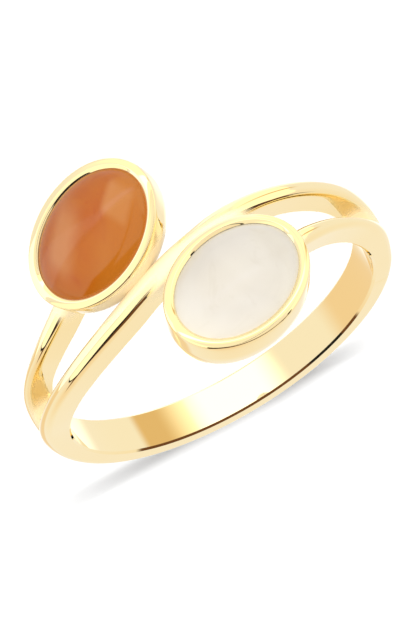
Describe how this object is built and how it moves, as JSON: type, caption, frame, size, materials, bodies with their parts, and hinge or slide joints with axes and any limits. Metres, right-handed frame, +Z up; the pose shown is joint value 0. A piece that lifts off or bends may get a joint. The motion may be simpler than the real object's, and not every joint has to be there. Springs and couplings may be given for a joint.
{
  "type": "moonstone ring",
  "caption": "Crossover finger ring: a domed band that splits at the shoulders and carries bezel-set oval moonstone cabochons on either side of its strand, lying on its side.",
  "frame": {"origin": "centre of the bounding box on the surface that the ring lies on", "axes": "+Z up from the surface, +Y from the shank towards the head with the stones, +X to the side of the white stone"},
  "size_m": [0.02, 0.0224, 0.0115],
  "materials": {
    "gold": "polished pale yellow gold",
    "peach_stone": "polished translucent orange-brown moonstone",
    "white_stone": "polished translucent milky white moonstone"
  },
  "bodies": {
    "root": {"gold_ring": "gold", "peach_moonstone": "peach_stone", "white_moonstone": "white_stone"}
  },
  "joints": []
}
